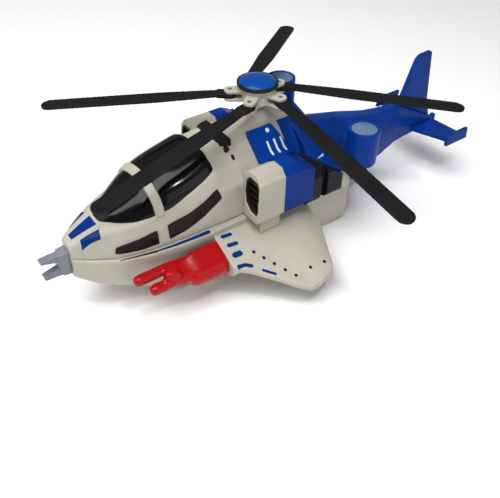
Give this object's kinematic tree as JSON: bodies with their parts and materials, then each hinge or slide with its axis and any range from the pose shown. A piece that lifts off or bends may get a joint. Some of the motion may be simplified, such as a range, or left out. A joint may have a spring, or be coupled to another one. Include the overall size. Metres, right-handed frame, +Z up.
{
  "type": "toy helicopter",
  "caption": "Large toy gunship-style helicopter with folding rotor blades, stub wings, red launchers, engine nacelles and a swept tail.",
  "frame": {"origin": "on the flat belly face, straight below the rotor axis", "axes": "+Z up, nose towards -Y, tail towards +Y, the model's port (left) side towards +X"},
  "size_m": [0.2538, 0.376, 0.1346],
  "materials": {
    "cream_plastic": "satin moulded ABS, warm cream white",
    "blue_plastic": "satin moulded ABS, cobalt blue",
    "cap_blue": "glossy cobalt blue dome",
    "rotor_black": "satin flexible black plastic",
    "canopy_black": "gloss black",
    "window_dark": "dark brown-black, satin gloss",
    "grey_plastic": "pale blue-grey soft plastic",
    "grille_dark": "dark matt insert",
    "engine_dark": "dark satin",
    "red_plastic": "gloss red",
    "lens_pale": "translucent pale blue",
    "steel": "plated steel",
    "bush_white": "natural acetal"
  },
  "bodies": {
    "airframe": {"belly_tub": "cream_plastic", "canopy_glass": "canopy_black", "canopy_hoop": "cream_plastic", "cowl_panel_port": "blue_plastic", "cowl_panel_starboard": "blue_plastic", "engine_port": "engine_dark", "engine_starboard": "engine_dark", "exhaust_port": "cream_plastic", "exhaust_starboard": "cream_plastic", "hull_screws": "steel", "intake_grille_port": "grille_dark", "intake_grille_starboard": "grille_dark", "intake_port": "cream_plastic", "intake_starboard": "cream_plastic", "lamp_pod_port": "blue_plastic", "lamp_pod_starboard": "blue_plastic", "launcher_port": "red_plastic", "launcher_starboard": "red_plastic", "mast_bush": "bush_white", "nacelle_cowl_port": "blue_plastic", "nacelle_cowl_starboard": "blue_plastic", "nose_fork": "grey_plastic", "pod_lens_port": "lens_pale", "pod_lens_starboard": "lens_pale", "spine_bar": "rotor_black", "spine_strip": "cream_plastic", "stabilizer_port": "blue_plastic", "stabilizer_starboard": "blue_plastic", "tail_boom": "blue_plastic", "tail_bumper": "blue_plastic", "tail_fin": "blue_plastic", "upper_shell": "cream_plastic", "window_front_port": "window_dark", "window_front_starboard": "window_dark", "window_rear_port": "window_dark", "window_rear_starboard": "window_dark", "wing_port": "cream_plastic", "wing_starboard": "cream_plastic"},
    "rotor": {"rotor_hub": "cream_plastic", "fold_pins": "steel", "rotor_cap": "cap_blue", "cap_rim": "rotor_black", "rotor_shaft": "steel", "shaft_clip": "steel"},
    "blade_1": {"blade_1": "rotor_black"},
    "blade_2": {"blade_2": "rotor_black"},
    "blade_3": {"blade_3": "rotor_black"},
    "blade_4": {"blade_4": "rotor_black"},
    "blade_5": {"blade_5": "rotor_black"}
  },
  "joints": [
    {"name": "rotor_spin", "type": "hinge", "parent": "airframe", "child": "rotor", "pos_m": [0, 0, 0.121], "axis": [0, 0, 1], "continuous": true},
    {"name": "blade_1_fold", "type": "hinge", "parent": "rotor", "child": "blade_1", "pos_m": [0.0178, 0.00606, 0.121], "axis": [0, 0, 1], "range_deg": [-17.1, 52.9]},
    {"name": "blade_2_fold", "type": "hinge", "parent": "rotor", "child": "blade_2", "pos_m": [0.01126, -0.01505, 0.121], "axis": [0, 0, 1], "range_deg": [-15.5, 54.5]},
    {"name": "blade_3_fold", "type": "hinge", "parent": "rotor", "child": "blade_3", "pos_m": [-0.01084, -0.01536, 0.121], "axis": [0, 0, 1], "range_deg": [-37.7, 32.3]},
    {"name": "blade_4_fold", "type": "hinge", "parent": "rotor", "child": "blade_4", "pos_m": [-0.01796, 0.00556, 0.121], "axis": [0, 0, 1], "range_deg": [-5.9, 64.1]},
    {"name": "blade_5_fold", "type": "hinge", "parent": "rotor", "child": "blade_5", "pos_m": [-0.00026, 0.0188, 0.121], "axis": [0, 0, 1], "range_deg": [-1.1, 68.9]}
  ]
}
